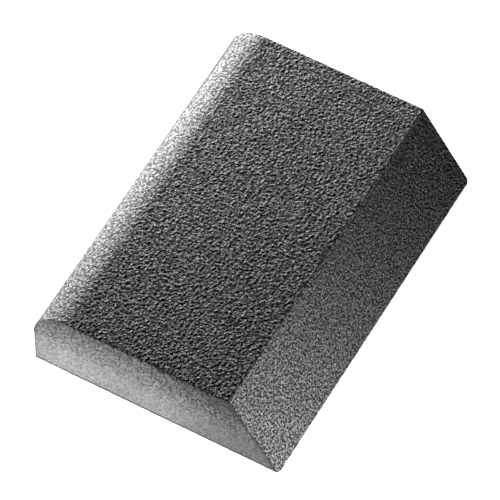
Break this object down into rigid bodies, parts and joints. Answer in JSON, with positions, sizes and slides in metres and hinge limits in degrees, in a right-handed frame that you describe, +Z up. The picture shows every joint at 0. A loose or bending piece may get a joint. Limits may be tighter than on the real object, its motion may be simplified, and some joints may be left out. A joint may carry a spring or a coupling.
{
  "type": "sanding block",
  "caption": "Flexible foam sanding block with an angled side, a rounded shoulder, grit on its long faces and bare foam ends.",
  "frame": {"origin": "middle of the base, on the surface that the block rests on", "axes": "+X along the length, -Y towards the angled side, +Y towards the square side with the rounded shoulder, +Z up through the thickness"},
  "size_m": [0.125, 0.087, 0.028],
  "materials": {
    "foam": "matte open-celled foam",
    "resin_bond": "matte cured resin",
    "coarse_grit": "rough coarse mineral grit set in resin",
    "fine_grit": "rough fine mineral grit set in resin"
  },
  "bodies": {
    "root": {"foam_core": "foam", "top_bond": "resin_bond", "side_bond": "resin_bond", "bevel_bond": "resin_bond", "base_bond": "resin_bond", "top_grit": "coarse_grit", "side_grit": "coarse_grit", "bevel_grit": "fine_grit", "base_grit": "fine_grit"}
  },
  "joints": []
}
